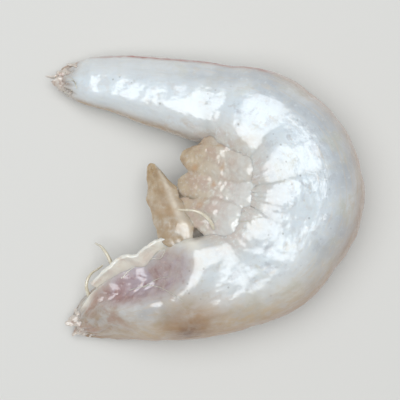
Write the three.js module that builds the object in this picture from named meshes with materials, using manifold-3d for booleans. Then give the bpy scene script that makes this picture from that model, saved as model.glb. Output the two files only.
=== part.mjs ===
import * as THREE from 'three';
import { mergeVertices } from 'three/addons/utils/BufferGeometryUtils.js';
import Module from 'manifold-3d';

// A raw white prawn, headless and peeled, curled up on its left side on a table.
// Millimetres, +Z up. The table is z = 0, and the origin is the middle of the outline on it.

const wasm = await Module();
wasm.setup();

const { clamp, degToRad, lerp, smoothstep } = THREE.MathUtils;
const UP = new THREE.Vector3(0, 0, 1);

// The cut front end: where its tip lies, which way the middle line leaves it, and how thick it is there.
const FRONT = { x: -16.86, y: -17.15, heading: 29, depth: 3.8, width: 3.4, roll: 20 };

// The stretches of meat behind it: a plug of breast muscle, six somites and the stump of the tail.
// The middle line of each is an arc with a length and a turn. Depth (back to belly), width (side to
// side) and roll (the belly turned upwards) are those at the rear end of the stretch.
const STRETCHES = [
  { length: 11.6, turn: -15, depth: 12.2, width: 10.2, roll: 18 },
  { length: 11.2, turn: 6, depth: 15.0, width: 12.2, roll: 16 },
  { length: 8.6, turn: 34, depth: 16.4, width: 13.2, roll: 13 },
  { length: 7.5, turn: 44, depth: 16.4, width: 13.4, roll: 11 },
  { length: 7.2, turn: 40, depth: 14.4, width: 12.2, roll: 9 },
  { length: 7.8, turn: 26, depth: 11.4, width: 10.2, roll: 8 },
  { length: 18.0, turn: 10, depth: 6.6, width: 6.0, roll: 6 },
  { length: 4.8, turn: 4, depth: 4.2, width: 3.6, roll: 4 },
];
const END = STRETCHES.length;
const FIRST_JOINT = 1;
const LAST_JOINT = 6;

// Relief of the meat. Swelling and creases are strongest at the belly and fade to this share at the back.
const BACK_SHARE = 0.3;
const BULGE = 0.4; // how far a somite swells between its joints
const CREASE = 0.42; // how deep the crease at a joint is
const CREASE_REACH = 0.085; // half width of a crease, as a share of a somite
const JOINT_SWEEP = 0.12; // how far the joints run back on the flank, as a share of a somite
const BELLY_GROOVE = 0.7; // depth of the groove along the middle of the belly
const GROOVE_REACH = 0.3; // half width of that groove, in radians
const BELLY_FULLNESS = 0.86; // below 1, the belly is fuller than an ellipse
const FLANK_SLOPE = 0.08; // how much wider the meat is towards the belly than towards the back
const UNEVEN = 0.2; // slow unevenness of the whole surface
// The pocket where the head was twisted off: a long hollow beside the belly, with a lip round it.
const POCKET = { station: 0.92, reach: 0.64, angle: 136, spread: 38, depth: 1.8, lip: 0.5 };

// What is left of the five pairs of swimming legs, one pair to a somite, on both sides of the belly: flat
// lobes of soft tissue that fan out inside the curl. Along is half the width of a lobe, and turn is how
// far it points towards the front end, seen from above.
const LEGS = [
  { upper: { length: 12.3, along: 2.5, turn: 7 }, lower: { length: 2.0, along: 1.4, turn: 0 } },
  { upper: { length: 8.8, along: 3.0, turn: 36 }, lower: { length: 7.6, along: 2.6, turn: 22 } },
  { upper: { length: 10.4, along: 3.3, turn: 0 }, lower: { length: 7.5, along: 2.6, turn: 8 } },
  { upper: { length: 9.6, along: 2.9, turn: -42 }, lower: { length: 5.4, along: 2.2, turn: -30 } },
  { upper: { length: 4.4, along: 2.2, turn: -46 }, lower: { length: 1.8, along: 1.4, turn: -10 } },
];
// Their places beside the middle of the belly, half their thickness, how deep they start in the meat, how
// far below level they leave it, and how far their tips droop beyond that, as a share of their length.
const LEG = { angle: 34, across: 0.6, rooted: 1.2, hang: 15, droop: 0.22 };

// Torn strands of muscle at the front tip and at the tail. Turn is away from the middle line, to the
// back; along is half the thickness from flank to flank, and across half of that from back to belly.
const FRONT_STRANDS = [
  { turn: -38, length: 1.6, along: 1.1, across: 1.0 },
  { turn: -10, length: 3.0, along: 1.3, across: 1.1 },
  { turn: 24, length: 2.2, along: 1.0, across: 0.9 },
];
const TAIL_STRANDS = [
  { turn: -24, length: 1.2, along: 0.9, across: 1.0 },
  { turn: 4, length: 2.2, along: 1.0, across: 1.1 },
  { turn: 26, length: 1.5, along: 0.9, across: 1.0 },
];
const ROOTED = 2.2; // how deep a strand starts in the meat
const SLIMMING = 0.3; // how much of its thickness a strand or leg loses up to its tip

// The rag of skin that hangs on along the pocket's belly edge, between two stations.
const RAG = {
  from: 0.45,
  to: 1.45,
  angle: 168,
  rooted: 0.5,
  width: 2.3,
  thickness: 0.6,
  waves: 2,
  ripple: 0.25,
  curl: 0.7,
  slant: 0.5,
};

// Sinews that trail from the skin: how far they stand off, and how far their tips hang back and down.
const SINEW = { root: 0.34, tip: 0.18, sides: 6, steps: 8, rooted: 0.7 };
const SINEWS = [
  { station: 0.3, angle: 176, off: 3.2, back: 3.4, down: 2.4 },
  { station: 0.66, angle: 200, off: 4.4, back: -1.6, down: 2.4 },
  { station: 1.95, angle: 160, off: 5.6, back: -3.6, down: 1.6 },
  { station: 2.4, angle: 196, off: 4.6, back: 2.2, down: 3.0 },
];

const SINK = 0.45; // the soft underside is pressed flat where it would reach this far below the table
const TABLE = 120; // side of the block that stands for the table

const FRONT_CAP = 0.25; // over how much of the first stretch the front end rounds off
const TAIL_CAP = 0.95; // the same of the last stretch
const RINGS_PER_STRETCH = 10;
const GATHERED = 0.7; // 0 spreads the rings evenly over a stretch, 1 packs them tight at its joints
const POINTS_PER_RING = 36;

// The sum of vectors, each times its number.
function mix(...terms) {
  return terms.reduce((sum, [vector, share]) => sum.addScaledVector(vector, share), new THREE.Vector3());
}

// 1 in the middle, falling to nothing well beyond the reach on both sides.
function bump(value, middle, reach) {
  return Math.exp(-(((value - middle) / reach) ** 2));
}

const profile = new THREE.CatmullRomCurve3(
  [FRONT, ...STRETCHES].map((end) => new THREE.Vector3(end.depth, end.width, end.roll)),
  false,
  'catmullrom',
  0.5,
);

// A station counts stretches along the meat: 0 is the cut front end, END is the end of the tail.
function spineAt(station) {
  const place = new THREE.Vector3(FRONT.x, FRONT.y, 0);
  let heading = degToRad(FRONT.heading);
  STRETCHES.forEach((stretch, i) => {
    const share = clamp(station - i, 0, 1);
    const half = degToRad(stretch.turn * share) / 2;
    const chord = stretch.length * share * (half === 0 ? 1 : Math.sin(half) / half);
    place.x += chord * Math.cos(heading + half);
    place.y += chord * Math.sin(heading + half);
    heading += 2 * half;
  });
  return { place, heading };
}

// The frame of the meat at a station: its middle, and the directions of its back and its upper side.
function frameAt(station) {
  const { place, heading } = spineAt(station);
  const section = profile.getPoint(clamp(station / END, 0, 1));
  const roll = degToRad(section.z);
  const along = new THREE.Vector3(Math.cos(heading), Math.sin(heading), 0);
  const out = new THREE.Vector3(Math.sin(heading), -Math.cos(heading), 0);
  const back = mix([out, Math.cos(roll)], [UP, -Math.sin(roll)]);
  const side = mix([UP, Math.cos(roll)], [out, Math.sin(roll)]);
  place.z = Math.hypot((section.y / 2) * Math.cos(roll), (section.x / 2) * Math.sin(roll)) - SINK;
  return { place, along, back, side, depth: section.x, width: section.y };
}

// Angles run round the meat: 0 is the back, 90 the upper flank, 180 the belly, 270 the lower flank.
function reliefAt(station, angle) {
  const towardsBelly = (1 - Math.cos(angle)) / 2;
  const onSomites = smoothstep(station, 0.6, 1) * (1 - smoothstep(station, 6.6, 7));
  const share = station - Math.floor(station);
  const swell = BULGE * lerp(BACK_SHARE, 1, towardsBelly) * Math.sin(Math.PI * share ** 1.4) * onSomites;

  const joint = clamp(Math.round(station), FIRST_JOINT, LAST_JOINT);
  const crease = CREASE * lerp(BACK_SHARE, 1, towardsBelly ** 2) * bump(station, joint, CREASE_REACH);

  const beforeTail = 1 - smoothstep(station, 5.4, 6.2);
  const groove = BELLY_GROOVE * bump(angle, Math.PI, GROOVE_REACH) * onSomites * beforeTail;

  const along = (station - POCKET.station) / POCKET.reach;
  const across = (angle - degToRad(POCKET.angle)) / degToRad(POCKET.spread);
  const away = Math.hypot(along, across);
  const pocket = POCKET.depth * (1 - smoothstep(away, 0.2, 1)) - POCKET.lip * bump(away, 1.05, 0.3);

  const uneven = Math.sin(2.3 * station + 2 * angle) * Math.sin(1.7 * station - 3 * angle + 1);
  return swell - crease - groove - pocket + UNEVEN * uneven;
}

// A point of the skin, or above it by lift. Closed is 1 along the meat and falls to 0 at its two ends.
function skinPoint(station, angle, closed = 1, lift = 0) {
  const swept = clamp(station + JOINT_SWEEP * Math.sin(angle) ** 2 * closed, 0, END);
  const { place, back, side, depth, width } = frameAt(swept);
  const cos = Math.cos(angle);
  const toBack = (depth / 2) * Math.sign(cos) * Math.abs(cos) ** (cos < 0 ? BELLY_FULLNESS : 1);
  const toSide = (width / 2) * Math.sin(angle) * (1 - FLANK_SLOPE * cos);
  const radial = mix([back, toBack], [side, toSide]);
  const grown = closed * (1 + (reliefAt(station, angle) + lift) / radial.length());
  return place.addScaledVector(radial, grown);
}

// Moves every vertex of a geometry to where the function puts it.
function shaped(geometry, place) {
  const position = geometry.getAttribute('position');
  const vertex = new THREE.Vector3();
  for (let i = 0; i < position.count; i++) {
    vertex.fromBufferAttribute(position, i);
    const { x, y, z } = place(vertex);
    position.setXYZ(i, x, y, z);
  }
  return geometry;
}

// The meat is a sphere whose poles become the two ends. Its rings gather at the joints.
function meat() {
  const sphere = new THREE.SphereGeometry(1, POINTS_PER_RING, RINGS_PER_STRETCH * END);
  return shaped(sphere, (vertex) => {
    const even = (Math.acos(clamp(vertex.y, -1, 1)) / Math.PI) * END;
    const station = even - (GATHERED / (2 * Math.PI)) * Math.sin(2 * Math.PI * even);
    const angle = Math.PI - Math.atan2(vertex.z, vertex.x);
    const fromEnd = clamp(Math.min(station / FRONT_CAP, (END - station) / TAIL_CAP), 0, 1);
    return skinPoint(station, angle, Math.sqrt(1 - (1 - fromEnd) ** 2));
  });
}

// A lobe of meat: an egg that grows outwards from its root for its length and narrows to a blunt tip.
// Its cross-section is 2 alongRadius by 2 acrossRadius, and its tip hangs down by droop.
function lobe({ root, outwards, along, across, length, alongRadius, acrossRadius, droop = 0 }) {
  const egg = new THREE.SphereGeometry(1, 10, 8);
  return shaped(egg, ({ x, y, z }) => {
    const grown = (y + 1) / 2;
    const slim = 1 - SLIMMING * grown;
    return mix(
      [root, 1],
      [outwards, length * grown],
      [along, alongRadius * slim * x],
      [across, acrossRadius * slim * z],
      [UP, -droop * grown ** 2],
    );
  });
}

// A swimming leg leaves the belly level but for its hang, and droops more the longer it is.
function swimmingLeg({ length, along: alongRadius, turn }, station, angle) {
  const heading = spineAt(station).heading + Math.PI / 2 + degToRad(turn);
  const hang = degToRad(LEG.hang);
  const level = new THREE.Vector3(Math.cos(heading), Math.sin(heading), 0);
  const along = new THREE.Vector3(Math.sin(heading), -Math.cos(heading), 0);
  const outwards = mix([level, Math.cos(hang)], [UP, -Math.sin(hang)]);
  return lobe({
    root: skinPoint(station, angle, 1, -LEG.rooted),
    outwards,
    along,
    across: along.clone().cross(outwards),
    length: LEG.rooted + length,
    alongRadius,
    acrossRadius: LEG.across,
    droop: LEG.droop * length,
  });
}

function swimmingLegs() {
  const apart = degToRad(LEG.angle);
  return LEGS.flatMap(({ upper, lower }, i) => {
    const station = FIRST_JOINT + i + 0.5;
    return [
      swimmingLeg(upper, station, Math.PI - apart),
      swimmingLeg(lower, station, Math.PI + apart),
    ];
  });
}

// Strands side by side at a station near an end of the meat. Forwards is -1 for the front, 1 for the tail.
function tornStrands(strands, station, forwards) {
  const { place, along, back, side } = frameAt(station);
  return strands.map((strand) => {
    const turn = degToRad(strand.turn);
    const outwards = mix([along, forwards * Math.cos(turn)], [back, Math.sin(turn)]);
    return lobe({
      root: mix([place, 1], [outwards, -ROOTED], [back, Math.sin(turn)]),
      outwards,
      along: side.clone().multiplyScalar(-forwards),
      across: mix([back, Math.cos(turn)], [along, -forwards * Math.sin(turn)]),
      length: ROOTED + strand.length,
      alongRadius: strand.along,
      acrossRadius: strand.across,
    });
  });
}

// A thin wavy sheet, both faces split alike, that stands along the pocket's belly edge.
function rag() {
  const sheet = new THREE.BoxGeometry(1, 1, 1, 18, 4, 1);
  return shaped(sheet, ({ x, y, z }) => {
    const length = x + 0.5;
    const grown = y + 0.5;
    const station = lerp(RAG.from, RAG.to, length);
    const { along, back, side } = frameAt(station);
    const width = RAG.rooted + (RAG.width - RAG.rooted) * Math.sin(Math.PI * lerp(0.08, 0.92, length)) ** 0.6;
    const ripple = RAG.ripple * grown * Math.sin(2 * Math.PI * RAG.waves * length);
    const thickness = RAG.thickness * (1 - 0.4 * grown);
    return mix(
      [skinPoint(station, degToRad(RAG.angle), 1, -RAG.rooted), 1],
      [back, -grown * width],
      [side, thickness * z + ripple + RAG.curl * grown ** 2],
      [along, -RAG.slant * grown],
    );
  });
}

// A tapering thread that starts under the skin and hangs over to its tip.
function sinew({ station, angle, off, back, down }) {
  const { along } = frameAt(station);
  const at = (lift) => skinPoint(station, degToRad(angle), 1, lift);
  const root = at(-SINEW.rooted);
  const bend = mix([at(off * 0.7), 1], [along, back * 0.3]);
  const tip = mix([at(off), 1], [along, back]);
  tip.z = Math.max(tip.z - down, SINEW.root);
  const curve = new THREE.CatmullRomCurve3([root, bend, tip]);
  const { normals, binormals } = curve.computeFrenetFrames(SINEW.steps);
  const cylinder = new THREE.CylinderGeometry(1, 1, SINEW.steps, SINEW.sides, SINEW.steps);
  return shaped(cylinder, ({ x, y, z }) => {
    const step = Math.round(y + SINEW.steps / 2);
    const share = step / SINEW.steps;
    const radius = lerp(SINEW.root, SINEW.tip, share);
    return mix([curve.getPointAt(share), 1], [normals[step], -radius * x], [binormals[step], radius * z]);
  });
}

function solidOf(geometry) {
  const bare = new THREE.BufferGeometry().setAttribute('position', geometry.getAttribute('position'));
  const whole = mergeVertices(bare.setIndex(geometry.index), 1e-4);
  return new wasm.Manifold(
    new wasm.Mesh({
      numProp: 3,
      vertProperties: whole.getAttribute('position').array,
      triVerts: new Uint32Array(whole.index.array),
    }),
  );
}

const tissues = [
  ...swimmingLegs(),
  ...tornStrands(FRONT_STRANDS, 0, -1),
  ...tornStrands(TAIL_STRANDS, END, 1),
  rag(),
  ...SINEWS.map(sinew),
];
const grown = tissues.reduce((whole, tissue) => whole.add(solidOf(tissue)), solidOf(meat()));
const table = new THREE.BoxGeometry(TABLE, TABLE, TABLE).translate(0, 0, -TABLE / 2);
const lying = grown.subtract(solidOf(table));

const made = lying.getMesh();
const geometry = new THREE.BufferGeometry();
geometry.setAttribute('position', new THREE.BufferAttribute(made.vertProperties, 3));
geometry.setIndex(new THREE.BufferAttribute(made.triVerts, 1));
geometry.computeVertexNormals();

const flesh = new THREE.MeshStandardMaterial({ color: 0xc3c8c8, roughness: 0.25, metalness: 0 });
const prawn = new THREE.Mesh(geometry, flesh);
prawn.name = 'prawn';

const part = new THREE.Group();
part.add(prawn);

export default part;
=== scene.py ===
import math
import random
import bpy
import numpy as np
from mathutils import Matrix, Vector
from mathutils.kdtree import KDTree


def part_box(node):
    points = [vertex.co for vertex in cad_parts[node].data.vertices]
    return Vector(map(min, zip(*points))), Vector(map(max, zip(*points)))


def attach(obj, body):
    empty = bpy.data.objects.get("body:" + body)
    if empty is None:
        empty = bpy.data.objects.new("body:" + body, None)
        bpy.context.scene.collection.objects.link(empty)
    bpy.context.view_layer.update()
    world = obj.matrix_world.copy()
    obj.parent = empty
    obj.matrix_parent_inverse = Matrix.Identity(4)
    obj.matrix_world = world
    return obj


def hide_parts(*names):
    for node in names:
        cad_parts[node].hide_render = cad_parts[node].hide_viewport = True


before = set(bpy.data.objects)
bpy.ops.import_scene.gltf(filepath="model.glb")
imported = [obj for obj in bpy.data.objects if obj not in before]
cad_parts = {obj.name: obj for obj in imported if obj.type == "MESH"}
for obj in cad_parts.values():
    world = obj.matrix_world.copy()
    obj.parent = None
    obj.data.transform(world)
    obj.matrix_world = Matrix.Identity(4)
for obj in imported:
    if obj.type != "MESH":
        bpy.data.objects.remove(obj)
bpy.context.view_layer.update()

# A raw white prawn, headless and peeled, curled up on its left side on a pale table.
# It is modelled straight, lying along X with its back towards -Y, and then bent round.

mm = 0.001
prawnLow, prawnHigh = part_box("prawn")
prawnMiddle = (prawnLow + prawnHigh) / 2
random.seed(7)
print("frame loaded, prawn", [round(v / mm, 1) for v in prawnHigh - prawnLow], "mm")


def deselectAll():
    if bpy.context.object and bpy.context.object.mode != "OBJECT":
        bpy.ops.object.mode_set(mode="OBJECT")
    bpy.ops.object.select_all(action="DESELECT")


def pick(piece):
    deselectAll()
    piece.select_set(True)
    bpy.context.view_layer.objects.active = piece


def applyModifier(piece, kind, **settings):
    pick(piece)
    modifier = piece.modifiers.new(kind.title(), kind)
    for name, value in settings.items():
        setattr(modifier, name, value)
    bpy.ops.object.modifier_apply(modifier=modifier.name)


def shadeSmooth(piece):
    pick(piece)
    bpy.ops.object.shade_smooth()


def copyOf(piece, name):
    copy = piece.copy()
    copy.data = piece.data.copy()
    copy.name = copy.data.name = name
    bpy.context.scene.collection.objects.link(copy)
    return copy


def joined(pieces, name):
    deselectAll()
    for piece in pieces:
        piece.select_set(True)
    bpy.context.view_layer.objects.active = pieces[0]
    bpy.ops.object.join()
    pieces[0].name = pieces[0].data.name = name
    return pieces[0]


def smoothstep(value, low, high):
    share = np.clip((value - low) / (high - low), 0, 1)
    return share * share * (3 - 2 * share)


# 1 in the middle, falling to nothing beyond the reach on both sides
def bump(value, middle, reach):
    return np.exp(-(((value - middle) / reach) ** 2))


# how far an angle in radians lies from a middle in degrees, in degrees
def angleGap(angle, middle):
    return np.abs((np.degrees(angle) - middle + 180) % 360 - 180)


def band(angle, middle, reach):
    return bump(angleGap(angle, middle), 0, reach)


# 1 on a stretch of the prawn, given by the stations where it begins, is full, fades and stops
def within(station, stretch):
    begins, full, fades, stops = stretch
    return smoothstep(station, begins, full) * (1 - smoothstep(station, fades, stops))


# unevenness from Displace modifiers, each with the size and the height of its lumps in millimetres
def roughen(piece, patterns):
    for name, (size, height) in patterns.items():
        texture = bpy.data.textures.get(name) or bpy.data.textures.new(name, "CLOUDS")
        texture.noise_scale = size * mm
        texture.noise_depth = 2
        applyModifier(piece, "DISPLACE", texture=texture, strength=height * mm, mid_level=0.5,
                      texture_coords="LOCAL", direction="NORMAL")


def setMask(piece, name, values):
    mask = piece.data.attributes.new(name, "FLOAT", "POINT")
    mask.data.foreach_set("value", np.asarray(values, np.float32))


# vertices in millimetres
def readPoints(piece):
    points = np.zeros(len(piece.data.vertices) * 3, np.float32)
    piece.data.vertices.foreach_get("co", points)
    return points.reshape(-1, 3) / mm


def writePoints(piece, points):
    piece.data.vertices.foreach_set("co", (np.asarray(points) * mm).astype(np.float32).ravel())
    piece.data.update()


# Lengths are in millimetres and angles in degrees, unless a note says otherwise. Stations count the
# stretches, from 0 at the cut front end to 8 at the tail's end. Numbers inside sines only vary a pattern.
body = {
    "frontTip": (4.69, 2.07),  # in from the low corner of the frame
    "frontHeading": 29,
    "lengths": [11.6, 11.2, 8.6, 7.5, 7.2, 7.8, 18.0, 4.8],
    "turns": [-15, 6, 34, 44, 40, 26, 10, 4],
    "depths": [3.8, 12.2, 15.0, 16.4, 16.4, 14.4, 11.4, 6.6, 4.2],  # back to belly
    "widths": [3.4, 10.2, 12.2, 13.2, 13.4, 12.2, 10.2, 6.0, 3.6],  # side to side
    "rolls": [20, 18, 16, 13, 11, 9, 8, 6, 4],  # how far the belly is turned upwards
    "sink": 0.45,  # how far the soft underside would reach below the table
    "frontCap": 0.25,  # how much of the first and of the last stretch its rounded end takes
    "tailCap": 0.95,
    "bellyFullness": 0.86,  # below 1, the belly is fuller than an ellipse
    "flankSlope": 0.08,  # how much wider the meat is towards the belly
    "joints": (1, 6),  # the stations of the first and the last joint
    "jointSweep": 0.12,  # how far the joints run back on the flank
    "somites": (0.6, 1, 6.6, 7),
    "backShare": 0.3,  # how much of the swelling and the creases is left at the back
    "bulge": 0.4,  # how far a somite swells between its joints
    "swellSkew": 1.4,  # above 1, it swells most behind its middle
    "crease": 0.42,
    "creaseReach": 0.085,
    "bellyGroove": 0.7,
    "grooveReach": 0.3,  # in radians
    "grooveEnd": (5.4, 6.2),
    "uneven": 0.2,
    # its floor and lip are placed by how far out they lie, with 1 at its rim
    "pocket": {"station": 0.92, "reach": 0.64, "angle": 136, "spread": 38, "depth": 1.8, "floor": 0.2,
               "lip": 0.5, "lipAt": 1.05, "lipReach": 0.3},
}
lastStation = len(body["lengths"])
stations = np.arange(lastStation + 1)
ends = np.concatenate([[0], np.cumsum(body["lengths"])])
frontCap = body["frontCap"] * body["lengths"][0]
tailCap = body["tailCap"] * body["lengths"][-1]


def stationAt(x):
    return np.interp(x, ends, stations)


def xAt(station):
    return np.interp(station, stations, ends)


# a smooth curve through values that are given station by station
def smoothAlong(values, station):
    v = np.array([2 * values[0] - values[1], *values, 2 * values[-1] - values[-2]], float)
    i = np.clip(np.floor(station).astype(int), 0, len(values) - 2)
    t = station - i
    a, b, c, d = v[i], v[i + 1], v[i + 2], v[i + 3]
    return b + 0.5 * t * (c - a + t * (2 * a - 5 * b + 4 * c - d + t * (3 * b - a - 3 * c + d)))


def sectionAt(station):
    station = np.clip(station, 0, lastStation)
    depth = smoothAlong(body["depths"], station)
    width = smoothAlong(body["widths"], station)
    roll = np.radians(smoothAlong(body["rolls"], station))
    height = np.hypot(width / 2 * np.cos(roll), depth / 2 * np.sin(roll)) - body["sink"]
    return depth, width, roll, height


# how far it is from an end, up to 1 where the end's rounding is over, and how wide it has grown there
def roundedAt(x):
    fromEnd = np.clip(np.minimum(x / frontCap, (ends[-1] - x) / tailCap), 0, 1)
    return fromEnd, np.sqrt(1 - (1 - fromEnd) ** 2)


# 1 at the pocket's rim and less inside it
def pocketAway(station, angle):
    pocket = body["pocket"]
    along = (station - pocket["station"]) / pocket["reach"]
    across = (angle - math.radians(pocket["angle"])) / math.radians(pocket["spread"])
    return np.hypot(along, across)


# 1 at a joint between two somites
def atJoint(station, reach):
    return bump(station, np.clip(np.round(station), *body["joints"]), reach)


# Angles run round the meat: 0 is the back, 90 the upper flank, 180 the belly, 270 the lower flank.
def reliefAt(station, angle):
    backShare = body["backShare"]
    towardsBelly = (1 - np.cos(angle)) / 2
    onSomites = within(station, body["somites"])
    swelling = np.sin(np.pi * (station - np.floor(station)) ** body["swellSkew"])
    swell = body["bulge"] * (backShare + (1 - backShare) * towardsBelly) * swelling * onSomites
    creased = backShare + (1 - backShare) * towardsBelly**2
    crease = body["crease"] * creased * atJoint(station, body["creaseReach"])
    beforeTail = 1 - smoothstep(station, *body["grooveEnd"])
    groove = body["bellyGroove"] * bump(angle, np.pi, body["grooveReach"]) * onSomites * beforeTail
    pocket = body["pocket"]
    away = pocketAway(station, angle)
    hollow = pocket["depth"] * (1 - smoothstep(away, pocket["floor"], 1))
    hollow = hollow - pocket["lip"] * bump(away, pocket["lipAt"], pocket["lipReach"])
    uneven = np.sin(2.3 * station + 2 * angle) * np.sin(1.7 * station - 3 * angle + 1)
    return swell - crease - groove - hollow + body["uneven"] * uneven


# a point of the straight prawn's skin; closed falls to 0 at the two ends, and lift is above the skin
def skinAt(station, angle, closed=1.0, lift=0.0):
    station, angle = np.asarray(station, float), np.asarray(angle, float)
    placed = np.clip(station + body["jointSweep"] * np.sin(angle) ** 2 * closed, 0, lastStation)
    depth, width, roll, height = sectionAt(placed)
    cos, sin = np.cos(angle), np.sin(angle)
    fullness = np.where(cos < 0, body["bellyFullness"], 1)
    outwards = depth / 2 * np.sign(cos) * np.abs(cos) ** fullness
    upwards = width / 2 * sin * (1 - body["flankSlope"] * cos)
    grown = closed * (1 + (reliefAt(station, angle) + lift) / np.hypot(outwards, upwards))
    outwards, upwards = outwards * grown, upwards * grown
    y = -(outwards * np.cos(roll) + upwards * np.sin(roll))
    z = -outwards * np.sin(roll) + upwards * np.cos(roll) + height
    return np.stack([xAt(placed), y, z], -1)


# where the middle line lies once bent, at x along the straight prawn, and its heading there
def bendAt(x):
    x = np.asarray(x, float)
    heading = np.full_like(x, math.radians(body["frontHeading"]))
    before = np.minimum(x, 0)
    placeX = prawnLow.x / mm + body["frontTip"][0] + before * np.cos(heading)
    placeY = prawnLow.y / mm + body["frontTip"][1] + before * np.sin(heading)
    for start, length, turn in zip(ends, body["lengths"], body["turns"]):
        share = np.clip((x - start) / length, 0, 1)
        half = np.radians(turn) * share / 2
        chord = length * share * np.sinc(half / np.pi)
        placeX = placeX + chord * np.cos(heading + half)
        placeY = placeY + chord * np.sin(heading + half)
        heading = heading + 2 * half
    after = np.maximum(x - ends[-1], 0)
    return placeX + after * np.cos(heading), placeY + after * np.sin(heading), heading


def bent(points):
    points = np.asarray(points, float)
    placeX, placeY, heading = bendAt(points[..., 0])
    out = points[..., 1]
    return np.stack([placeX - out * np.sin(heading), placeY + out * np.cos(heading), points[..., 2]], -1)


softness = {"meat": 0.12, "leg": 0.1, "thin": 0.05}  # how gently each curves on to the table


# heights, with what would lie below the table pressed flat
def pressed(z, kind):
    return 0.5 * (z + np.sqrt(z * z + softness[kind] ** 2))


def pressFlat(piece, kind="meat"):
    points = readPoints(piece)
    points[:, 2] = pressed(points[:, 2], kind)
    writePoints(piece, points)


def bendRound(piece):
    writePoints(piece, bent(readPoints(piece)))
    pressFlat(piece)


# a ring of vertices across X, in edit mode and selected; like the next two, it takes millimetres
def startRing(name, x, radius, vertices, fill):
    deselectAll()
    bpy.ops.mesh.primitive_circle_add(vertices=vertices, radius=radius * mm, fill_type=fill,
                                      location=(x * mm, 0, 0), rotation=(0, math.pi / 2, 0))
    piece = bpy.context.object
    piece.name = piece.data.name = name
    bpy.ops.object.transform_apply(location=True, rotation=True, scale=True)
    bpy.ops.object.mode_set(mode="EDIT")
    bpy.ops.mesh.select_all(action="SELECT")
    return piece


def extrudeRing(x, nextX, growY, growZ):
    bpy.ops.mesh.extrude_region_move(TRANSFORM_OT_translate={"value": ((nextX - x) * mm, 0, 0)})
    bpy.ops.transform.resize(value=(1, growY, growZ), center_override=(nextX * mm, 0, 0))


def closeRing(step):
    bpy.ops.mesh.extrude_region_move(TRANSFORM_OT_translate={"value": (step * mm, 0, 0)})
    bpy.ops.mesh.merge(type="CENTER")


def finishForm(piece, levels):
    bpy.ops.mesh.select_all(action="SELECT")
    bpy.ops.mesh.normals_make_consistent(inside=False)
    bpy.ops.object.mode_set(mode="OBJECT")
    applyModifier(piece, "SUBSURF", levels=levels, render_levels=levels)
    shadeSmooth(piece)
    return piece


fromFront, toTail = (-2, -1), (9, 10)  # ends of a stretch that starts or stops beyond the meat
sculpt = {
    "ringVertices": 34, "ringEvery": 1.95, "subdivisions": 3,
    "endRings": (0.25, 0.9),  # how far from an end its last two rings lie
    "endRoom": 1.5,  # how far from an end the even rings stay
    "stretches": {
        "somites": (1.0, 1.4, 6.2, 6.8),
        "flank": (1.0, 1.6, 7.1, 7.8),
        "bend": (1.7, 2.6, 5.4, 6.0),
        "front": (*fromFront, 1.6, 3.6),
        "tail": (5.2, 6.2, *toTail),
        "tailFlank": (5.2, 6.2, 7.1, 7.8),
        "tornFront": (*fromFront, 0.1, 0.8),
        "tornTail": (7.1, 7.8, *toTail),
    },
    "sideGroove": {"angle": 63, "reach": 8, "depth": 0.14},  # between back muscle and belly muscle
    # the flank is flatter where it is level; on the tail, that strip lies nearer to the belly
    "flankFlat": {"crest": 0.32, "reach": 20, "shoulders": 0.3, "apart": 36, "shoulderReach": 15,
                  "tailShoulders": 0.9, "turned": -4, "tailTurned": 12},
    "creaseEase": {"angle": 122, "reach": 66, "depth": 0.25},  # the creases are shallower on the flank
    # the tail slopes towards its back
    "tailTilt": {"raised": 130, "lowered": 72, "reach": 26, "height": 0.16, "drop": 0.6},
    "folds": {"every": 1.2, "depth": 0.2, "reach": 36},  # of the belly, squeezed inside the bend
    # furrows between muscle bundles at the torn ends, counted round them
    "furrows": {"count": 17, "front": 0.34, "tail": 0.2},
    "ragged": {"reach": 0.7, "from": 0.25, "spread": 0.3},  # how unevenly the ends are torn, lengthways
    "membrane": {"wrinkles": 0.13, "from": 0.5, "to": 1.08},  # it lines the pocket
    "roughened": {"lumps": (6.0, 0.42), "dents": (1.9, 0.14), "grain": (0.6, 0.05)},
}
# Coloured bands along the meat: their angle and their reach in degrees, and their stretch.
bands = {
    "belly": (180, 48, 1.0, 1.4, 6.2, 6.8),
    # painted light: the tail's belly side made paler and bluish white, as if lit
    "tailBellyPaintedLight": (150, 32, 5.4, 6.0, 7.1, 7.8),
    # partly the meat's warm edge, partly painted shade and painted warm bounce light at the tail's lower rim
    "tailRimTintAndPaintedLight": (178, 17, 5.2, 5.8, 7.1, 7.8),
    "frontRimTintAndPaintedLight": (14, 28, *fromFront, 3.2, 4.6),
    # partly the meat's warm edge, partly painted shade and painted warm bounce light at the front's rim
    "underside": (275, 60, *fromFront, *toTail),
    "lowFront": (38, 38, *fromFront, 1.6, 3.6),
    "redLine": (34, 5, 5.3, 5.7, 6.7, 7.1),
    "backLine": (17, 6, 3.0, 4.2, 7.1, 7.8),
}
# the other masks for colours
marks = {
    # the crest is the level strip that faces the lamp; its bluish white is partly milky flesh, partly painted
    # highlight
    "crest": {"reach": 27, "frontReach": 7, "stretch": (0.8, 1.7, 7.1, 7.8)},
    # partly the meat's warm edge, partly painted shade and painted warm bounce light along the back's rim
    "backRimTintAndPaintedLight": {"angle": 12, "reach": 25, "tailReach": -5, "tailFade": 0.6},
    "pocketEnd": (*fromFront, 0.4, 0.95),
    "lip": {"at": 1.12, "reach": 0.14, "angles": (128, 150)},
    # painted shade: darker at the joints, where the creases lie
    "crease": {"reach": 0.045, "backShare": 0.35},
    "tornFront": (*fromFront, 0.2, 0.9),
    "tail": (5.6, 6.6, *toTail),
    # a dark brown spot in an orange-brown halo, low on the front's flank; along and round turn stations and
    # degrees into millimetres
    "darkBrownSpot": {"station": 1.23, "angle": 48, "reach": 1.9, "halo": 4.6, "along": 10.9, "round": 0.1},
    "fibreMap": {"seam": 270, "girth": 4.5},  # degrees, on the hidden lower flank, and centimetres
}


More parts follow.
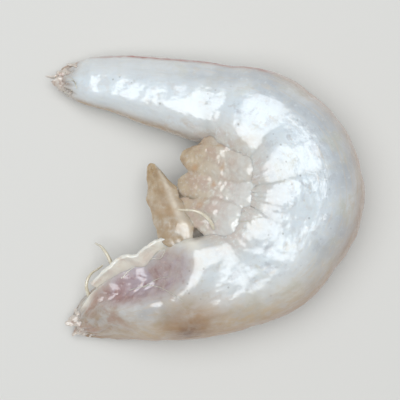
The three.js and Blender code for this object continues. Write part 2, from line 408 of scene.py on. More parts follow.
# a straight tube of rings, each the depth and width of the meat there
def growMeat():
    length = ends[-1]
    count = round(length / sculpt["ringEvery"])
    even = [length * i / count for i in range(1, count)]
    room, atEnd = sculpt["endRoom"], sculpt["endRings"]
    places = [*atEnd, *[x for x in even if room < x < length - room], *[length - x for x in atEnd[::-1]]]

    def ringSize(x):
        depth, width = sectionAt(stationAt(x))[:2]
        closed = roundedAt(x)[1]
        return float(depth) / 2 * closed, float(width) / 2 * closed

    meat = startRing("prawn_meat", places[0], 1, sculpt["ringVertices"], "NOTHING")
    across, up = ringSize(places[0])
    bpy.ops.transform.resize(value=(1, across, up), center_override=(places[0] * mm, 0, 0))
    for x, nextX in zip(places, places[1:]):
        (across, up), (nextAcross, nextUp) = ringSize(x), ringSize(nextX)
        extrudeRing(x, nextX, nextAcross / across, nextUp / up)
    closeRing(atEnd[0])  # the tail's end, and then the front
    bpy.ops.mesh.select_all(action="DESELECT")
    bpy.ops.mesh.select_non_manifold()
    closeRing(-atEnd[0])
    return finishForm(meat, sculpt["subdivisions"])


# gives the tube its relief, and its masks and map for the colours, and bends it
def sculptMeat(meat):
    points = readPoints(meat)
    x = points[:, 0]
    place = stationAt(x)
    depth, width, roll = sectionAt(place)[:3]
    angle = np.arctan2(points[:, 2] / width, -points[:, 1] / depth) % (2 * np.pi)
    fromEnd, closed = roundedAt(x)
    station = np.clip(place - body["jointSweep"] * np.sin(angle) ** 2 * closed, 0, lastStation)
    on = {name: within(station, stretch) for name, stretch in sculpt["stretches"].items()}

    side = sculpt["sideGroove"]
    gap = np.minimum(angleGap(angle, side["angle"]), angleGap(angle, 360 - side["angle"]))
    lift = -side["depth"] * bump(gap, 0, side["reach"]) * on["somites"]

    flat = sculpt["flankFlat"]
    level = np.degrees(np.arctan2(width * np.cos(roll), -depth * np.sin(roll)))
    crest = angleGap(angle, level + flat["turned"] + flat["tailTurned"] * on["tail"])
    shoulders = flat["shoulders"] * bump(crest, flat["apart"], flat["shoulderReach"])
    shoulders = shoulders * (1 - flat["tailShoulders"] * on["tail"])
    lift += (shoulders - flat["crest"] * bump(crest, 0, flat["reach"])) * on["flank"]

    ease = sculpt["creaseEase"]
    eased = atJoint(station, body["creaseReach"]) * band(angle, ease["angle"], ease["reach"])
    lift += ease["depth"] * eased * on["somites"]

    tilt = sculpt["tailTilt"]
    slope = band(angle, tilt["raised"], tilt["reach"])
    slope = slope - tilt["drop"] * band(angle, tilt["lowered"], tilt["reach"])
    lift += tilt["height"] * slope * on["tailFlank"]

    folds = sculpt["folds"]
    drift = 1.5 * np.sin(3 * angle) + 0.8 * np.sin(5 * angle + 2 * station) + 1.7 * np.sin(0.8 * x)
    waves = np.sin(2 * np.pi * x / folds["every"] + drift) * band(angle, 180, folds["reach"]) * on["bend"]
    lift += folds["depth"] * waves * (0.6 + 0.4 * np.sin(1.1 * x + 2 * np.sin(4 * angle)))

    furrows = sculpt["furrows"]
    ridges = np.abs(np.sin(furrows["count"] / 2 * angle + 1.3 * np.sin(x * 0.9) + np.sin(3 * angle)))
    furrowed = furrows["front"] * on["tornFront"] + furrows["tail"] * on["tornTail"]
    lift += furrowed * (ridges * (0.7 + 0.3 * np.sin(5 * angle + 1)) - 0.4) * closed

    membrane = sculpt["membrane"]
    away = pocketAway(station, angle)
    pocket = 1 - smoothstep(away, membrane["from"], membrane["to"])
    wrinkles = np.sin(2.6 * x + 2.2 * np.sin(7 * angle)) * np.sin(11 * angle - 0.8 * x)
    lift += membrane["wrinkles"] * wrinkles * pocket
    sculpted = skinAt(station, angle, np.maximum(closed, 1e-3), lift)  # the tips stay open by a hair

    ragged = sculpt["ragged"]
    tears = np.sin(4 * angle + 1) + 0.8 * np.sin(9 * angle) + 0.7 * np.sin(13 * angle + 5 * closed)
    nearEnd = bump(fromEnd, ragged["from"], ragged["spread"]) * closed
    outOfEnd = np.where(station > lastStation / 2, 1, -1)
    sculpted[:, 0] += ragged["reach"] / 2 * tears * nearEnd * outOfEnd
    writePoints(meat, sculpted)

    maskMeat(meat, station, angle, crest, on)
    mapFibres(meat, x, angle)
    bendRound(meat)
    roughen(meat, sculpt["roughened"])
    pressFlat(meat)


# the masks that the meat's colours keep to
def maskMeat(meat, station, angle, crest, on):
    masks = {name: band(angle, middle, reach) * within(station, stretch)
             for name, (middle, reach, *stretch) in bands.items()}
    masks["backLine"] *= 1 - within(station, bands["redLine"][2:])
    top, rim = marks["crest"], marks["backRimTintAndPaintedLight"]
    topReach = top["reach"] + top["frontReach"] * on["front"]
    # partly milky flesh, partly painted highlight along the level crest
    masks["crest"] = bump(crest, 0, topReach) * within(station, top["stretch"])
    # the back's rim: partly warm edge, partly painted shade and painted warm bounce light
    backRimTintAndPaintedLight = band(angle, rim["angle"], rim["reach"] + rim["tailReach"] * on["tail"])
    masks["backRimTintAndPaintedLight"] = backRimTintAndPaintedLight * (1 - rim["tailFade"] * on["tail"])

    away = pocketAway(station, angle)
    membrane, lip = sculpt["membrane"], marks["lip"]
    masks["pocket"] = 1 - smoothstep(away, membrane["from"], membrane["to"])
    masks["pocketEnd"] = masks["pocket"] * within(station, marks["pocketEnd"])
    masks["lip"] = bump(away, lip["at"], lip["reach"]) * smoothstep(np.degrees(angle), *lip["angles"])

    # painted shade: darker at the joints, where the creases lie
    crease = marks["crease"]
    towardsBelly = (1 - np.cos(angle)) / 2
    creased = crease["backShare"] + (1 - crease["backShare"]) * towardsBelly
    masks["crease"] = atJoint(station, crease["reach"]) * creased
    masks["torn"] = np.maximum(within(station, marks["tornFront"]), on["tornTail"])
    masks["tail"] = within(station, marks["tail"])

    # a dark brown spot in an orange-brown halo
    darkBrownSpot = marks["darkBrownSpot"]
    along = (station - darkBrownSpot["station"]) * darkBrownSpot["along"]
    spread = np.hypot(along, angleGap(angle, darkBrownSpot["angle"]) * darkBrownSpot["round"])
    masks["darkBrownSpot"] = bump(spread, 0, darkBrownSpot["reach"])
    masks["orangeBrownHalo"] = bump(spread, 0, darkBrownSpot["halo"])
    for name, values in masks.items():
        setMask(meat, name, values)


# a UV map of the length along the meat and the way round it, in centimetres
def mapFibres(meat, x, angle):
    fibreMap = marks["fibreMap"]
    around = (np.degrees(angle) - fibreMap["seam"]) % 360 / 360
    corners = np.zeros(len(meat.data.loops), np.int32)
    meat.data.loops.foreach_get("vertex_index", corners)
    starts = np.zeros(len(meat.data.polygons), np.int32)
    meat.data.polygons.foreach_get("loop_start", starts)
    firstAround = np.repeat(around[corners[starts]], np.diff(np.append(starts, len(corners))))
    cornerAround = around[corners] + np.round(firstAround - around[corners])
    uv = np.stack([x[corners] / 10, cornerAround * fibreMap["girth"]], -1)
    layer = meat.data.uv_layers.new(name="alongMeat")
    layer.data.foreach_set("uv", uv.astype(np.float32).ravel())


prawnMeat = growMeat()
sculptMeat(prawnMeat)
print("meat grown, sculpted and bent,", len(prawnMeat.data.polygons), "faces")


rag = {
    "from": 0.45, "to": 1.45, "angle": 168, "across": 90, "up": 16,
    "rooted": 0.5, "width": 2.3, "thickness": 0.5, "ragged": 0.03,
    "endsAt": 0.08, "fullness": 0.6,  # its outline is half a wave, cut off at the ends and made fuller
    "waves": 2, "ripple": 0.25, "flutter": 0.1, "curl": 0.7, "slant": 0.5, "drift": 0.2,
    "roughened": {"dents": (1.9, 0.22)},
}


# a rag of skin that stands along the pocket's belly edge
def hangRag():
    deselectAll()
    bpy.ops.mesh.primitive_grid_add(x_subdivisions=rag["across"], y_subdivisions=rag["up"], size=mm)
    sheet = bpy.context.object
    sheet.name = sheet.data.name = "skin_rag"
    points = readPoints(sheet)
    length, grown = points[:, 0] + 0.5, points[:, 1] + 0.5
    station = rag["from"] + (rag["to"] - rag["from"]) * length
    root = skinAt(station, np.full_like(length, math.radians(rag["angle"])), 1, -rag["rooted"])
    roll = sectionAt(station)[2]
    ragged = np.sin(17 * length) + 0.8 * np.sin(41 * length + 1) + 0.6 * np.sin(97 * length)
    wave = np.sin(np.pi * (rag["endsAt"] + (1 - 2 * rag["endsAt"]) * length))
    reach = (rag["width"] - rag["rooted"]) * wave ** rag["fullness"]
    reach = reach * (1 + rag["ragged"] * ragged) + rag["rooted"]
    tilt = rag["ripple"] * grown * np.sin(2 * np.pi * rag["waves"] * length) + rag["curl"] * grown**2
    tilt += rag["flutter"] * grown * np.sin(23 * length + 3 * grown)
    root[:, 0] += -rag["slant"] * grown + rag["drift"] * np.sin(9 * length) * grown
    root[:, 1] += grown * reach * np.cos(roll) - tilt * np.sin(roll)
    root[:, 2] += grown * reach * np.sin(roll) + tilt * np.cos(roll)
    writePoints(sheet, root)
    setMask(sheet, "grown", grown)
    applyModifier(sheet, "SOLIDIFY", thickness=rag["thickness"] * mm, offset=0)
    applyModifier(sheet, "SUBSURF", levels=1, render_levels=1)
    shadeSmooth(sheet)
    bendRound(sheet)
    roughen(sheet, rag["roughened"])
    pressFlat(sheet, "thin")
    return sheet


skinRag = hangRag()
print("rag hung")


def searchable(spots):
    nearest = KDTree(len(spots))
    for i, spot in enumerate(spots):
        nearest.insert(spot, i)
    nearest.balance()
    return nearest


# joins pieces into one soft mass that keeps their masks
def fuse(pieces, name, masks, voxel, smoothings):
    mass = joined(pieces, name)
    spots = readPoints(mass)
    values = {mask: np.zeros(len(spots), np.float32) for mask in masks}
    for mask in masks:
        mass.data.attributes[mask].data.foreach_get("value", values[mask])
    nearest = searchable(spots)
    applyModifier(mass, "REMESH", mode="VOXEL", voxel_size=voxel * mm)
    applyModifier(mass, "SMOOTH", factor=0.5, iterations=smoothings)
    origins = [nearest.find(spot)[1] for spot in readPoints(mass)]
    for mask in masks:
        if mask in mass.data.attributes:
            mass.data.attributes.remove(mass.data.attributes[mask])
        setMask(mass, mask, values[mask][origins])
    shadeSmooth(mass)
    return mass


# A soft form along +X, 1 mm long and 1 mm in radius, with its root at the origin. Each of its rings is
# given by its place and its size. Copies of it are laid out at their own lengths.
def makeForm(name, rings, sides, subdivisions):
    form = startRing(name, *rings[0], sides, "NGON")
    for (x, size), (nextX, nextSize) in zip(rings, rings[1:]):
        extrudeRing(x, nextX, nextSize / size, nextSize / size)
    closeRing(1 - rings[-1][0])
    return finishForm(form, subdivisions)


leg = {
    "form": {
        "rings": [(0.0, 0.5), (0.12, 0.8), (0.38, 1.0), (0.64, 0.98), (0.84, 0.8), (0.95, 0.5)],
        "sides": 14, "subdivisions": 3,
    },
    "firstRoot": 1.5,  # the station of the front pair; the others follow one station apart
    "angle": 34, "thick": 0.6, "rooted": 1.2, "hang": 15, "droop": 0.22,
    # pairs from the front to the tail: length, half width, turn to the front, and how brown each is
    "upper": [(12.3, 2.5, 7, 0.9), (8.8, 3.0, 36, 0.05), (10.4, 3.3, 0, 0.05), (9.6, 2.9, -42, 0.3),
              (4.4, 2.2, -46, 0.5)],
    "lower": [(2.0, 1.4, 0, 0.3), (7.6, 2.6, 22, 0.4), (7.5, 2.6, 8, 0.4), (5.4, 2.2, -30, 0.4),
              (1.8, 1.4, -10, 0.3)],
    "brownTip": 0.6,
    "brownFrom": 0.8,  # a leg browner than this is notched more, has a streak and isn't stout
    "notched": 0.12, "brownNotched": 1.8,
    "thinner": 0.3, "narrower": 0.3,  # at the tip
    "rib": 0.3, "ribReach": 0.16, "ribFrom": (0.2, 0.6),  # down the middle
    "stout": 1.7, "stoutAt": 0.1, "stoutReach": 0.14,  # at the root
    "cupped": 0.17, "bowed": 0.12, "waved": 0.09,
    "overlap": 0.5,  # every second leg lies this much higher
    "fused": {"voxel": 0.16, "smoothings": 6},  # all but the front pair cling to each other when wet
    "roughened": {"folds": (1.8, 0.42), "grains": (0.6, 0.16)},
    "tinted": 1.7,  # how far from their roots the meat has their colour
}


# a flat, soft lobe with a rib down the middle and notched margins
def placeLeg(oneLeg, row, number, sign):
    length, halfWidth, turn, brown = leg[row][number]
    browned = brown > leg["brownFrom"]
    straightRoot = skinAt(leg["firstRoot"] + number, math.pi + sign * math.radians(leg["angle"]), 1,
                          -leg["rooted"])
    heading = float(bendAt(straightRoot[0])[2]) + math.pi / 2 + math.radians(turn)
    hang = math.radians(leg["hang"])
    level = np.array([math.cos(heading), math.sin(heading), 0])
    wide = np.array([math.sin(heading), -math.cos(heading), 0])
    outwards = level * math.cos(hang) - np.array([0, 0, math.sin(hang)])

    t, v, w = readPoints(oneLeg).T  # along it, across it and through it
    phase = 1.7 * number + sign
    margin = np.sin(6 * t + phase) + 0.6 * np.sin(14 * t + 2 * phase) + 0.35 * np.sin(31 * t)
    notched = leg["notched"] * (leg["brownNotched"] if browned else 1)
    notch = 1 + notched * margin * np.clip(np.abs(v), 0, 1)
    thin = 1 - leg["thinner"] * t
    thin = thin - leg["rib"] * bump(v, 0, leg["ribReach"]) * smoothstep(t, *leg["ribFrom"])
    thin += leg["stout"] * bump(t, leg["stoutAt"], leg["stoutReach"]) * (not browned)
    bow = leg["bowed"] * length * np.sin(2.4 * t + phase) * t / 4
    place = bent(straightRoot) + np.outer(t * (leg["rooted"] + length), outwards)
    place += np.outer(v * halfWidth * (1 - leg["narrower"] * t) * notch + bow, wide)
    lift = w * leg["thick"] * thin - leg["cupped"] * halfWidth * v**2 - leg["droop"] * length * t**2
    overlap = leg["overlap"] * (number % 2) * (number > 0)
    lift += leg["waved"] * halfWidth * np.sin(6 * t + phase) * v + overlap
    place[:, 2] = pressed(place[:, 2] + lift, "leg")

    piece = copyOf(oneLeg, f"leg_{number + 1}_{row}")
    writePoints(piece, place)
    setMask(piece, "grown", np.clip(t, 0, 1))
    setMask(piece, "margin", np.clip(np.abs(v), 0, 1))
    setMask(piece, "brown", brown + leg["brownTip"] * smoothstep(t, 0.6, 1))
    setMask(piece, "streak", bump(v, 0.5, 0.2) * browned)
    return piece


def placeLegs():
    oneLeg = makeForm("one_leg", **leg["form"])
    pairs = range(len(leg["upper"]))
    upper = [placeLeg(oneLeg, "upper", number, -1) for number in pairs]
    lower = [placeLeg(oneLeg, "lower", number, 1) for number in pairs]
    bpy.data.objects.remove(oneLeg)
    masks = ["grown", "margin", "brown", "streak"]
    legs = [upper[0], lower[0], fuse(upper[1:], "clung_legs_upper", masks, **leg["fused"]),
            fuse(lower[1:], "clung_legs_lower", masks, **leg["fused"])]
    for piece in legs:
        roughen(piece, leg["roughened"])
        pressFlat(piece, "thin")
    return legs


# the meat is tinted and grainy round the roots of the legs that cling together
def tintByLegs(clungLegs):
    reach = leg["tinted"]
    spots = np.concatenate([readPoints(piece)[::3] for piece in clungLegs])
    nearest = searchable(spots)
    low, high = spots.min(0) - 2 * reach, spots.max(0) + 2 * reach
    points = readPoints(prawnMeat)
    near = np.all((points > low) & (points < high), axis=1)
    away = np.full(len(points), 10 * reach)
    away[near] = [nearest.find(spot)[2] for spot in points[near]]
    setMask(prawnMeat, "byLegs", bump(away, 0, reach))


swimmingLegs = placeLegs()
tintByLegs(swimmingLegs[2:])
print("swimming legs placed")


tornEnds = {
    "form": {
        "rings": [(0.0, 1.0), (0.3, 1.0), (0.6, 0.92), (0.8, 0.78), (0.94, 0.5)],
        "sides": 8, "subdivisions": 2,
    },
    "rooted": 2.4,
    "fused": {"voxel": 0.12, "smoothings": 5},
    "roughened": {"knots": (0.9, 0.5)},
    # broad thin sheets of muscle lie round the end, softer lumps fill it, and a few shreds trail
    "kinds": [{"count": 10, "spread": 0.86, "length": (0.6, 2.2), "thick": (0.24, 0.36), "flat": 3.6},
              {"count": 12, "spread": 0.6, "length": (0.6, 2.4), "thick": (0.34, 0.55), "flat": 1.7},
              {"count": 4, "spread": 0.55, "length": (2.4, 3.1), "thick": (0.28, 0.38), "flat": 2.6}],
    "front": {"station": 0.14, "way": -1, "fan": 9, "longer": 1.0},
    "tail": {"station": 7.5, "way": 1, "fan": 5, "longer": 1.35},
    "filled": 0.9,  # how far out towards the skin they are rooted
    "goldenAngle": 2.4,  # in radians, from one strand to the next, which spreads them evenly
    "stray": 0.4, "strayUp": (-0.4, 0.2), "levelled": 0.7,  # they fan less upwards than sideways
    "innerLonger": 1.2,
}


# flaps and fibres of torn muscle that stand out of an end of the meat
def fray(name, oneStrand):
    end, stray = tornEnds[name], tornEnds["stray"]
    depth, width, roll, height = (float(v) for v in sectionAt(end["station"]))
    along = np.array([end["way"], 0.0, 0.0])
    back = np.array([0, -math.cos(roll), -math.sin(roll)])
    up = np.array([0, -math.sin(roll), math.cos(roll)])
    middle = np.array([xAt(end["station"]), 0, height])
    fan = math.tan(math.radians(end["fan"]))
    t, v, w = readPoints(oneStrand).T  # along it, across it and through it
    strands = []
    for kind in tornEnds["kinds"]:
        for i in range(kind["count"]):
            turn = tornEnds["goldenAngle"] * i
            out = kind["spread"] * tornEnds["filled"] * math.sqrt((i + 0.5) / kind["count"])
            toBack, toUp = out * math.cos(turn), out * math.sin(turn)
            outwards = along + back * fan * (toBack + random.uniform(-stray, stray))
            strayed = toUp + random.uniform(*tornEnds["strayUp"])
            outwards = outwards + up * fan * tornEnds["levelled"] * strayed
            outwards /= np.linalg.norm(outwards)
            flat = np.cross(outwards, back * math.cos(turn) + up * math.sin(turn))
            flat /= np.linalg.norm(flat)
            through = np.cross(flat, outwards)
            thick = random.uniform(*kind["thick"]) * (1 + 0.2 * np.sin(11 * t + i) + 0.15 * np.sin(23 * t))
            length = random.uniform(*kind["length"]) * (tornEnds["innerLonger"] - out) * end["longer"]
            length = tornEnds["rooted"] + length
            sway = random.uniform(-stray, stray) * t**2 + 0.2 * np.sin(6 * t + i) * t
            root = middle + back * toBack * depth / 2 + up * toUp * width / 2 - along * tornEnds["rooted"]
            place = root + np.outer(t * length, outwards)
            place += np.outer(v * kind["flat"] * thick + sway, flat)
            place += np.outer(w * thick + 0.5 * sway * math.cos(i), through)
            strand = copyOf(oneStrand, f"{name}_strand_{len(strands)}")
            writePoints(strand, place)
            setMask(strand, "grown", np.clip(t, 0, 1))
            strands.append(strand)
    piece = fuse(strands, f"{name}_strands", ["grown"], **tornEnds["fused"])
    bendRound(piece)
    roughen(piece, tornEnds["roughened"])
    pressFlat(piece, "thin")
    return piece


oneStrand = makeForm("one_strand", **tornEnds["form"])
frontStrands = fray("front", oneStrand)
tailStrands = fray("tail", oneStrand)
bpy.data.objects.remove(oneStrand)
print("torn ends frayed")


sinew = {
    "root": 0.3, "tip": 0.12, "rooted": 0.7,
    "midOff": 0.7, "midBack": 0.3,  # where its middle is on the way from the skin to the tip
    # station, angle, how far off the skin, and how far back and down the tip hangs
    "hanging": [(0.3, 176, 3.2, 3.4, 2.4), (0.66, 200, 4.4, -1.6, 2.4),
                (1.95, 160, 5.6, -3.6, 1.6), (2.4, 196, 4.6, 2.2, 3.0)],
}
fineThread = {
    "count": 16, "root": 0.06, "tip": 0.036, "length": (2.0, 6.0),
    "points": 6, "perStation": 9,  # millimetres of thread in a station
    "slope": 25, "wobble": 5,  # how far it strays round the meat
    "from": 0.3, "off": 0.03,  # it is dropped from just above the skin and stops this far off the meat
    # the middles and spreads of the places where they stick: station and angle
    "places": [(0.9, 150, 0.4, 14), (2.2, 172, 0.5, 12), (3.6, 176, 0.9, 12), (7.3, 110, 0.3, 50)],
}


# round threads that taper from their roots to their tips
def makeThreads(name, paths, thick, thin):
    line = bpy.data.curves.new(name, "CURVE")
    line.dimensions = "3D"
    line.bevel_depth = mm
    line.bevel_resolution = 2
    line.resolution_u = 10
    line.use_fill_caps = True
    for path in paths:
        spline = line.splines.new("BEZIER")
        spline.bezier_points.add(len(path) - 1)
        for i, (point, place) in enumerate(zip(spline.bezier_points, path)):
            point.co = Vector(place) * mm
            point.handle_left_type = point.handle_right_type = "AUTO"
            point.radius = thick + (thin - thick) * i / (len(path) - 1)
    threads = bpy.data.objects.new(name, line)
    bpy.context.scene.collection.objects.link(threads)
    pick(threads)
    bpy.ops.object.convert(target="MESH")
    shadeSmooth(threads)
    setMask(threads, "grown", np.full(len(threads.data.vertices), 0.5))
    return threads


def hangSinews():
    paths = []
    for station, angle, off, back, down in sinew["hanging"]:
        def at(lift):
            return bent(skinAt(station, math.radians(angle), 1, lift))
        heading = float(bendAt(skinAt(station, math.radians(angle))[0])[2])
        along = np.array([math.cos(heading), math.sin(heading), 0])
        tip = at(off) + along * back
        tip[2] = max(tip[2] - down, sinew["root"])
        middle = at(off * sinew["midOff"]) + along * sinew["midBack"] * back
        paths.append([at(-sinew["rooted"]), middle, tip])
    return makeThreads("sinews", paths, sinew["root"], sinew["tip"])


# fine threads of sinew and gut that stick to the wet meat
def layThreads():
    paths = []
    last = fineThread["points"] - 1
    for i in range(fineThread["count"]):
        station, angle, stationSpread, angleSpread = fineThread["places"][i % len(fineThread["places"])]
        station = random.gauss(station, stationSpread / 2)
        angle = random.gauss(angle, angleSpread)
        length, slope = random.uniform(*fineThread["length"]), random.gauss(0, fineThread["slope"])
        path = []
        for share in (k / last for k in range(last + 1)):
            there = station + share * length / fineThread["perStation"]
            turned = angle + slope * share + fineThread["wobble"] * math.sin(5 * share + i)
            above = bent(skinAt(there, math.radians(turned), 1, fineThread["from"]))
            spot, normal = prawnMeat.closest_point_on_mesh(Vector(above) * mm)[1:3]
            path.append((spot + normal * fineThread["off"] * mm) / mm)
        paths.append(path)
    return makeThreads("fine_threads", paths, fineThread["root"], fineThread["tip"])


sinews = hangSinews()
stuckThreads = layThreads()
print("sinews hung and fine threads laid")


def linear(hexColour):
    channels = [int(hexColour[i:i + 2], 16) / 255 for i in (1, 3, 5)]
    return [*(c / 12.92 if c <= 0.04045 else ((c + 0.055) / 1.055) ** 2.4 for c in channels), 1]


def newMaterial(name):
    material = bpy.data.materials.new(name)
    material.use_nodes = True
    return material, material.node_tree.nodes["Principled BSDF"]


def setSockets(node, values):
    for socket, value in values.items():
        node.inputs[socket].default_value = value


# adds a node: settings are its properties, values its sockets, and links what its sockets read
def addNode(tree, kind, settings=None, values=None, links=None):
    node = tree.nodes.new(kind)
    for name, value in (settings or {}).items():
        setattr(node, name, value)
    setSockets(node, values or {})
    for socket, source in (links or {}).items():
        tree.links.new(source, node.inputs[socket])
    return node


# Lays colours over a base, from the first to the last. A layer has its colour, the mask it keeps to and
# the pattern that breaks it up, with the values between which it comes in and its least and most cover.
def painted(tree, finish, patterns):
    def sourceOf(name):
        if name not in patterns:  # then it is an attribute of the mesh
            patterns[name] = addNode(tree, "ShaderNodeAttribute", {"attribute_name": name}).outputs["Fac"]
        return patterns[name]

    colours, colour, soft = finish["colours"], None, {"interpolation_type": "SMOOTHSTEP"}
    for name, mask, pattern, low, high, least, most in finish["layers"]:
        steps = {"From Min": low, "From Max": high, "To Min": least, "To Max": most}
        links = {"Value": sourceOf(pattern)}
        factor = addNode(tree, "ShaderNodeMapRange", soft, steps, links).outputs["Result"]
        if mask:
            links = {0: factor, 1: sourceOf(mask)}
            factor = addNode(tree, "ShaderNodeMath", {"operation": "MULTIPLY"}, links=links).outputs[0]
        both = {6: linear(colours["base"]), 7: linear(colours[name])}
        links = {0: factor, 6: colour} if colour else {0: factor}
        colour = addNode(tree, "ShaderNodeMix", {"data_type": "RGBA"}, both, links).outputs[2]
    return colour


# stacks relief from patterns, each with its strength and its height in millimetres
def relieve(tree, socket, reliefs, patterns):
    normal = None
    for pattern, strength, height in reliefs:
        links = {"Height": patterns[pattern]}
        if normal:
            links["Normal"] = normal
        values = {"Strength": strength, "Distance": height * mm}
        normal = addNode(tree, "ShaderNodeBump", values=values, links=links).outputs["Normal"]
        tree.links.new(normal, socket)


# Wet raw flesh and skin let light in and scatter it, under a film of water that gives the highlights.
wetTissue = {
    "IOR": 1.42,
    "Subsurface Weight": 0.75,
    "Subsurface Radius": (1.0, 0.9, 0.8),
    "Coat Weight": 1.0,
    "Coat IOR": 1.8,  # above water's 1.33, for highlights as strong as on the real one
}


def makeWetTissue(name, finish):
    material, shader = newMaterial(name)
    tree = material.node_tree
    where = addNode(tree, "ShaderNodeTexCoord").outputs["Object"]
    patterns = {}
    for pattern, (size, detail, roughness, distortion) in finish["patterns"].items():
        values = {"Scale": 1 / (size * mm), "Detail": detail, "Roughness": roughness}
        values["Distortion"] = distortion
        noise = addNode(tree, "ShaderNodeTexNoise", None, values, {"Vector": where})
        patterns[pattern] = noise.outputs["Fac"]
    if "fibres" in finish:
        fibres = finish["fibres"]
        uv = addNode(tree, "ShaderNodeUVMap", {"uv_map": "alongMeat"}).outputs["UV"]
        slant = {"Rotation": (0, 0, math.radians(fibres["slant"])), "Scale": (*fibres["perCentimetre"], 1)}
        slanted = addNode(tree, "ShaderNodeMapping", None, slant, {"Vector": uv}).outputs["Vector"]
        values = {"Scale": 1.0, "Detail": 2.0}
        streaks = addNode(tree, "ShaderNodeTexNoise", None, values, {"Vector": slanted})
        patterns["streaks"] = streaks.outputs["Fac"]
    if "cellSpacing" in finish:
        spacing = {"Scale": 1 / (finish["cellSpacing"] * mm)}
        cells = addNode(tree, "ShaderNodeTexVoronoi", {"feature": "F1"}, spacing, {"Vector": where})
        patterns["cells"] = cells.outputs["Distance"]
    tree.links.new(painted(tree, finish, patterns), shader.inputs["Base Color"])
    relieve(tree, shader.inputs["Normal"], finish["relief"], patterns)
    relieve(tree, shader.inputs["Coat Normal"], finish.get("filmRelief", []), patterns)
    own = {"Roughness": finish["roughness"], "Subsurface Scale": finish["scatter"] * mm}
    own["Coat Roughness"] = finish["filmRoughness"]
    setSockets(shader, {**wetTissue, **own})
    return material


